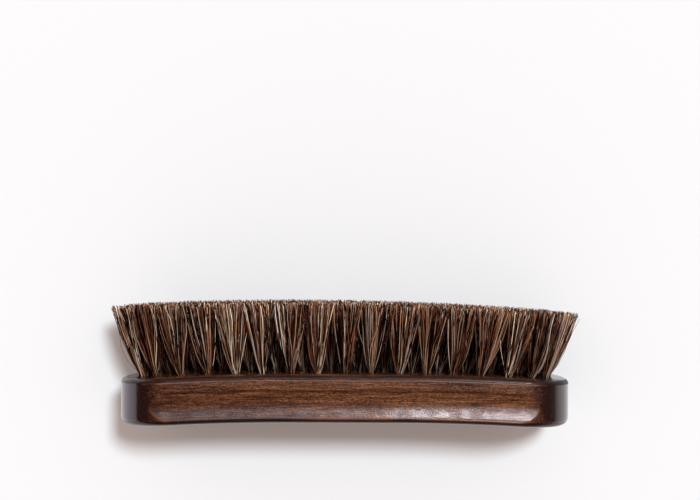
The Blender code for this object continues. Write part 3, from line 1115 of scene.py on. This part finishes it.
def lacquered_wood():
    """Stained hardwood under a gloss lacquer that has dried a little uneven."""
    finish, tree, shader = new_finish("lacquered_wood")
    wood = wood_patterns(tree)
    feed(tree, shader.inputs["Base Color"], wood_colour(tree, wood))
    feed(tree, shader.inputs["Roughness"], 0.40 + wood.fibre * 0.2)
    shader.inputs["Specular IOR Level"].default_value = 0.08
    marks = grain(tree, (0.2, 0.08, 0.08), detail=0)
    lower = wood.groove * between(tree, wood.depth, *LOWER_WALL_START)
    lower = lower * between(tree, wood.depth, *LOWER_WALL_END)
    feed(tree, shader.inputs["Coat Weight"], 1 - dullness(tree, wood, lower, marks))
    shader.inputs["Coat Roughness"].default_value = 0.07
    shader.inputs["Coat IOR"].default_value = 1.56
    # The lacquer lies in slow waves, and over the tool marks of the grooves it is rough.
    rougher = lower * (ROUGH + wood.right * ROUGH_TO_THE_RIGHT)
    speckle = grain(tree, (2.5, 2.5, 2.5), detail=2, roughness=0.7) * (SMOOTH_SPECKLE + rougher)
    waves = bump(tree, wood.peel + marks * rougher * MARKS_IN_WAVES, WAVE_HEIGHT)
    feed(tree, shader.inputs["Coat Normal"], bump(tree, speckle, SPECKLE_HEIGHT, below=waves))
    fibres = bump(tree, wood.fibre - wood.pore, FIBRE_HEIGHT, below=waves)
    feed(tree, shader.inputs["Normal"], fibres)
    return finish


def horsehair():
    """Mixed hair, from near black through reddish brown to tan, straw and grey."""
    finish, tree, shader = new_finish("horsehair")
    mapped = add(tree, "ShaderNodeUVMap", uv_map="OFBake").outputs[0]
    strips, lift = split(tree, mapped)[:2]
    inner = strips.math("GREATER_THAN", 0.5)
    colour = ramp(tree, strips * 2 - inner, HAIR_SHADES)
    streaks = noise(tree, join(tree, strips * STREAKS_ACROSS, lift * STREAKS_UP, 0), 3)
    # Painted light and shade: the roots are darker, the inner tufts' roots darkest, and the tips
    # lighter.
    light = ROOT_LIGHT - inner * INNER_SHADE + lift * (LIGHT_UP_THE_HAIR + inner * INNER_SHADE)
    light = light + lift ** TIP_LIGHT_POWER * TIP_LIGHT
    shadow = (STREAK_DARK + streaks * STREAK_LIGHT) * light
    tint = add(tree, "ShaderNodeCombineColor", {"Red": shadow, "Green": shadow, "Blue": shadow})
    colour = blend(tree, 1.0, colour, tint.outputs[0], "MULTIPLY")
    # Hairs of one shade are golden or grey.
    casts = noise(tree, join(tree, strips * CASTS_ACROSS, CASTS_ROW, 0), 0)
    cast = blend(tree, between(tree, casts, *GOLDEN_STEP), GREY_CAST, GOLDEN_CAST)
    colour = blend(tree, 1.0, colour, cast, "MULTIPLY")
    feed(tree, shader.inputs["Base Color"], colour)
    shader.inputs["Roughness"].default_value = 0.36
    shader.inputs["Specular IOR Level"].default_value = 0.12
    return finish


def anchor_wire():
    """Drawn steel wire, dulled in patches."""
    finish, tree, shader = new_finish("anchor_wire")
    tarnish = grain(tree, (0.8, 0.8, 0.8), detail=3)
    colour = ramp(tree, tarnish, ((0.4, (0.40, 0.38, 0.35)), (0.6, (0.62, 0.61, 0.58))))
    feed(tree, shader.inputs["Base Color"], colour)
    feed(tree, shader.inputs["Roughness"], 0.6 - tarnish * 0.4)
    shader.inputs["Metallic"].default_value = 1
    return finish


# Studio


def matte(name):
    """A finish without shine. Returns it and the socket for its colour."""
    finish, _, shader = new_finish(name)
    shader.inputs["Roughness"].default_value = 1
    shader.inputs["Specular IOR Level"].default_value = 0
    return finish, shader.inputs["Base Color"]


def show_in_reflections_only(obj):
    obj.visible_camera = False
    obj.visible_diffuse = False
    obj.visible_shadow = False
    obj.visible_transmission = False


def make_floor():
    finish, colour = matte("studio_floor")
    colour.default_value = FLOOR_COLOUR
    mesh = bpy.data.meshes.new("studio_floor")
    turns = ((-1, -1), (1, -1), (1, 1), (-1, 1))
    corners = [(FLOOR_REACH * x, FLOOR_REACH * y, 0) for x, y in turns]
    mesh.from_pydata(corners, [], [(0, 1, 2, 3)])
    mesh.materials.append(finish)
    new_object("studio_floor", mesh)


def make_tent():
    """A dark tent over the brush, which only reflections see."""
    cloth, colour = matte("studio_tent")
    colour.default_value = TENT_COLOUR
    bm = bmesh.new()
    bmesh.ops.create_uvsphere(bm, u_segments=32, v_segments=16, radius=TENT_RADIUS)
    below = [vertex for vertex in bm.verts if vertex.co.z < TENT_HEM]
    bmesh.ops.delete(bm, geom=below, context="VERTS")
    mesh = bpy.data.meshes.new("studio_tent")
    bm.to_mesh(mesh)
    bm.free()
    mesh.materials.append(cloth)
    tent = new_object("studio_tent", mesh)
    show_in_reflections_only(tent)


def make_boards():
    """Boards beside the brush for the reflections in its two ends. Both darken outwards."""
    paint, colour = matte("studio_board")
    tree = paint.node_tree
    x = split(tree, tree.nodes.new("ShaderNodeTexCoord").outputs["Object"])[0]
    darker = between(tree, x, *RIGHT_BOARD_FADE)
    right = blend(tree, darker, RIGHT_BOARD_COLOUR, DARK_BOARD_COLOUR)
    darker = between(tree, x, *LEFT_BOARD_FADE)
    left = blend(tree, darker, LEFT_BOARD_COLOUR, DARK_BOARD_COLOUR)
    feed(tree, colour, blend(tree, x.math("LESS_THAN", 0), right, left))
    corners = [
        (BOARD_NEAR, -BOARD_SIDE, BOARD_HEIGHT),
        (BOARD_FAR, -BOARD_SIDE, BOARD_HEIGHT),
        (BOARD_FAR, BOARD_SIDE, BOARD_HEIGHT),
        (BOARD_NEAR, BOARD_SIDE, BOARD_HEIGHT),
    ]
    corners += [(-x, y, z) for x, y, z in reversed(corners)]
    mesh = bpy.data.meshes.new("studio_board")
    mesh.from_pydata(corners, [], [(0, 1, 2, 3), (4, 5, 6, 7)])
    mesh.materials.append(paint)
    board = new_object("studio_board", mesh)
    show_in_reflections_only(board)


def aim(obj, lean, heading, distance=0):
    """Puts an object out from the brush, leaning from the vertical towards a heading, facing it."""
    out = Vector((math.cos(heading), math.sin(heading), 0)) * math.sin(lean)
    out.z = math.cos(lean)
    # One side of a panel lies square to the brush's length.
    side = out.cross((1, 0, 0)).normalized()
    obj.location = out * distance
    obj.rotation_euler = Matrix((side.cross(out), side, out)).transposed().to_euler()


def make_key():
    key = bpy.data.lights.new("key", "SUN")
    key.energy = KEY_STRENGTH
    key.angle = KEY_SIZE
    key.color = KEY_COLOUR
    aim(new_object("key", key), KEY_LEAN, KEY_HEADING)


def make_panel(wood):
    """A soft panel that only shows in the shine of the lacquer, and is brightest on its right."""
    panel = bpy.data.lights.new("panel", "AREA")
    panel.shape = "RECTANGLE"
    panel.size = PANEL_LENGTH
    panel.size_y = PANEL_WIDTH
    panel.energy = PANEL_POWER
    panel.color = PANEL_COLOUR
    panel.use_nodes = True
    tree = panel.node_tree
    along = split(tree, tree.nodes.new("ShaderNodeNewGeometry").outputs["Parametric"])[0]
    strength = between(tree, along, *PANEL_FADE) * (1 - PANEL_DIM) + PANEL_DIM
    feed(tree, tree.nodes["Emission"].inputs["Strength"], strength)
    lamp = new_object("panel", panel)
    lamp.visible_camera = False
    lamp.visible_diffuse = False
    lit = bpy.data.collections.new("lit_by_panel")
    lit.objects.link(wood)
    lamp.light_linking.receiver_collection = lit
    aim(lamp, PANEL_LEAN, PANEL_HEADING, PANEL_DISTANCE)


def make_world():
    """A room with pale walls and a darker ceiling."""
    world = bpy.data.worlds.new("studio")
    bpy.context.scene.world = world
    world.use_nodes = True
    tree = world.node_tree
    direction = tree.nodes.new("ShaderNodeTexCoord").outputs["Generated"]
    height = split(tree, direction)[2]
    stops = (
        (0, WALL_COLOUR),
        (WALL_END, WALL_COLOUR),
        (CEILING_START, CEILING_COLOUR),
        (1, CEILING_COLOUR),
    )
    feed(tree, tree.nodes["Background"].inputs["Color"], ramp(tree, height, stops))


def make_camera():
    camera = bpy.data.cameras.new("camera")
    camera.lens = LENS
    camera.sensor_width = SENSOR
    camera.clip_start = NEAREST
    obj = new_object("camera", camera)
    obj.location = CAMERA_PLACE
    obj.rotation_euler = (0, 0, CAMERA_ROLL)
    bpy.context.scene.camera = obj


def main():
    bpy.context.scene.view_settings.view_transform = "Standard"
    make_camera()
    rows = tuft_rows()
    tufts = tuft_points("tuft_places", all_tufts(rows))
    block = make_block(lacquered_wood(), tufts)
    bpy.data.objects.remove(tufts)
    make_anchors(anchor_wire(), rows)
    make_hair(horsehair(), rows)
    make_floor()
    make_tent()
    make_boards()
    make_key()
    make_panel(block)
    make_world()


main()
